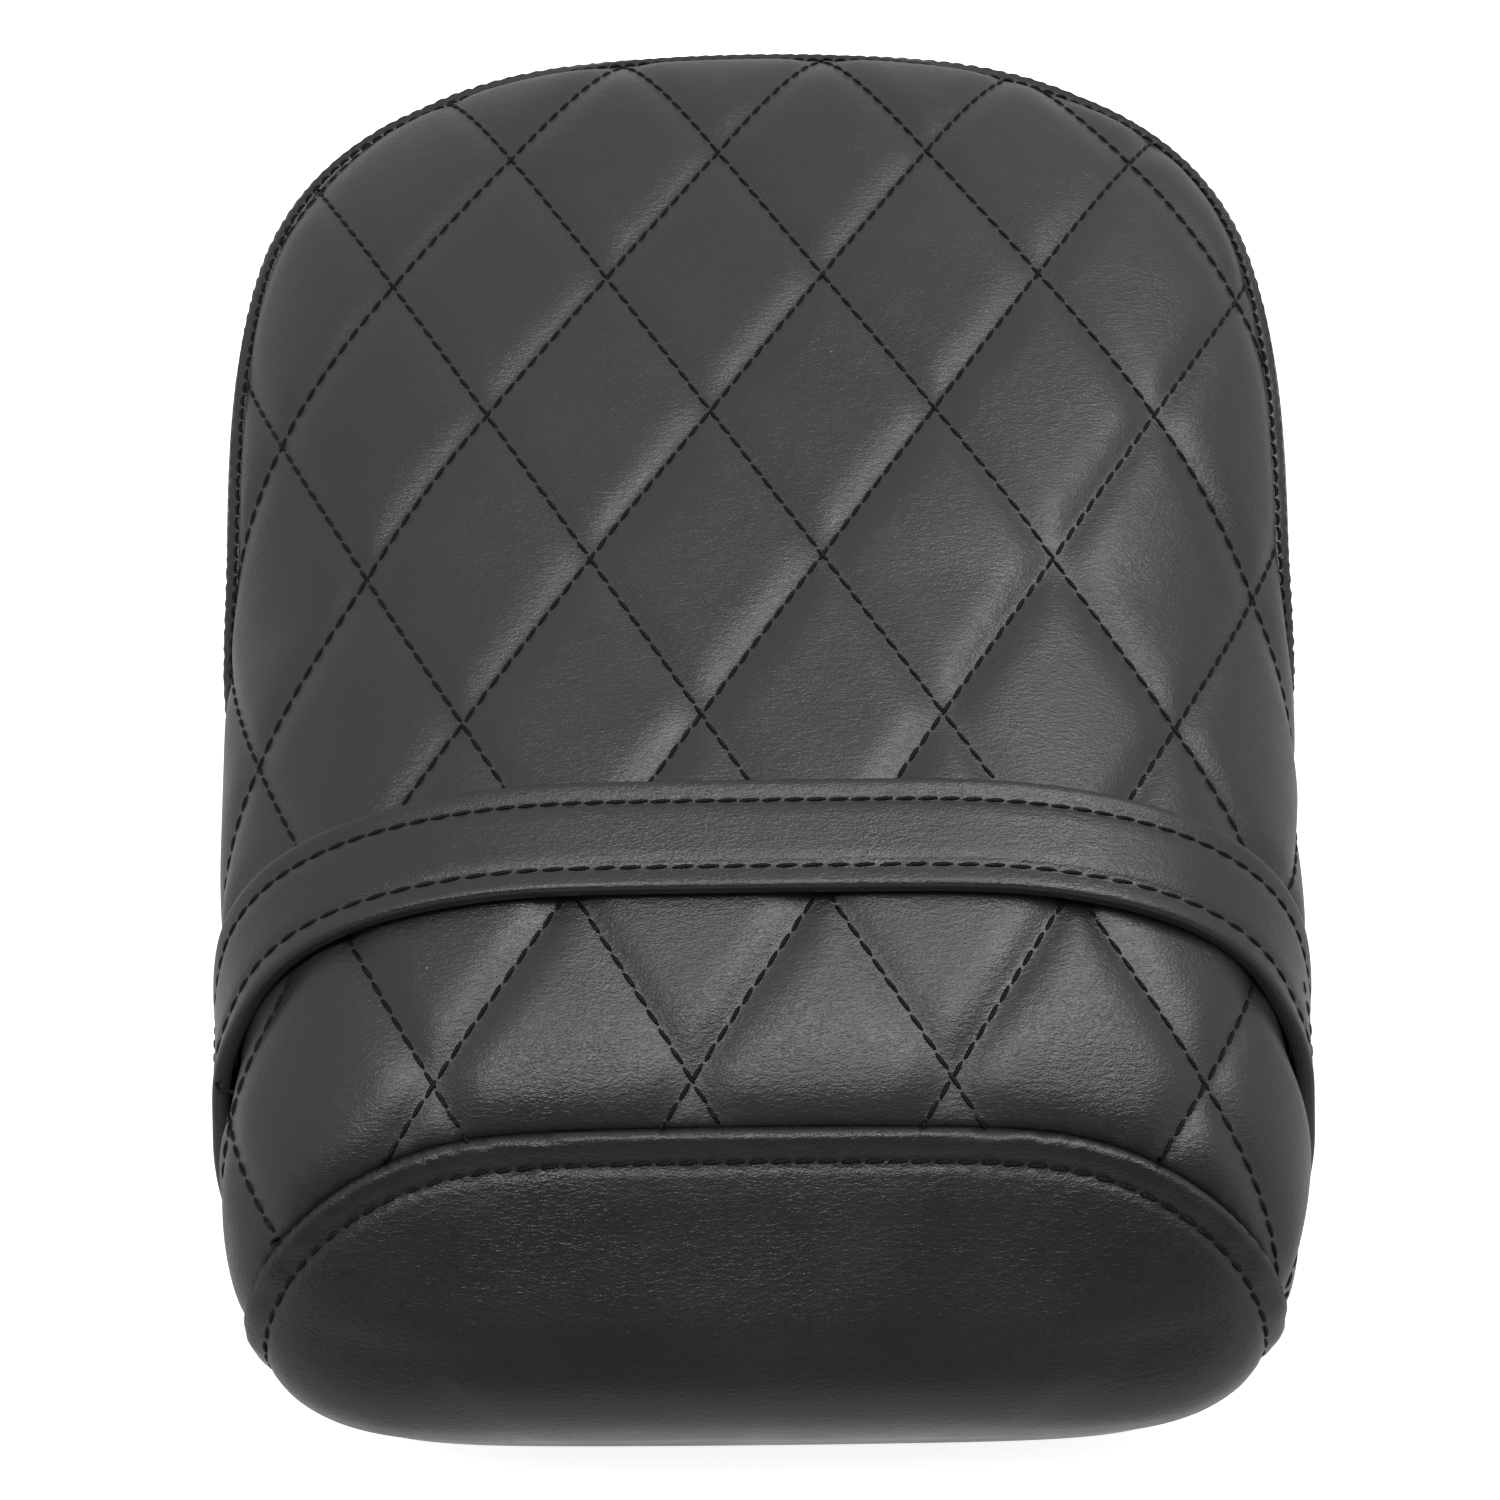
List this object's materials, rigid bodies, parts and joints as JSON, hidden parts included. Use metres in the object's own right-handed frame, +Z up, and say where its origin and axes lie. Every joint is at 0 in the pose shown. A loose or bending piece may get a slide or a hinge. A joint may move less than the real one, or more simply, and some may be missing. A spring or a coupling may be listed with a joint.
{
  "type": "motorcycle passenger seat",
  "caption": "Padded motorcycle pillion seat with diamond-quilted top, smooth front and side panels, a grab strap across it, a front hook tongue and a rear bolt bracket.",
  "frame": {"origin": "centre of the bounding box's footprint, on the plane that the four rubber bumpers rest on", "axes": "+X to the rider's right, +Y to the motorcycle's rear, +Z up"},
  "size_m": [0.2272, 0.3248, 0.1011],
  "materials": {
    "quilted_leatherette": "satin",
    "smooth_leatherette": "satin",
    "strap_leatherette": "satin",
    "stitching": "satin",
    "braid": "satin",
    "webbing": "matte",
    "wadding": "matte",
    "foam": "matte",
    "pan_plastic": "satin",
    "bracket_steel": "satin",
    "zinc_steel": "satin",
    "insert_brass": "satin",
    "bumper_rubber": "matte"
  },
  "bodies": {
    "root": {"base_pan": "pan_plastic", "top_cover": "quilted_leatherette", "front_panel": "smooth_leatherette", "side_boxing": "smooth_leatherette", "quilt_wadding": "wadding", "foam_core": "foam", "rim_trim": "braid", "front_tongue": "bracket_steel", "rear_bracket": "bracket_steel", "bracket_screws": "zinc_steel", "bracket_washers": "zinc_steel", "bracket_inserts": "insert_brass", "bumper_front_left": "bumper_rubber", "bumper_front_right": "bumper_rubber", "bumper_rear_left": "bumper_rubber", "bumper_rear_right": "bumper_rubber", "staples": "zinc_steel", "strap_end_left": "strap_leatherette", "strap_end_right": "strap_leatherette", "strap_plate_left": "bracket_steel", "strap_plate_right": "bracket_steel", "strap_screws": "zinc_steel", "strap_inserts": "insert_brass"},
    "strap": {"strap_band": "strap_leatherette", "strap_webbing": "webbing"}
  },
  "joints": [
    {"name": "strap_lift", "type": "slide", "parent": "root", "child": "strap", "axis": [0, 0, 1], "range_m": [0, 0.022]}
  ]
}
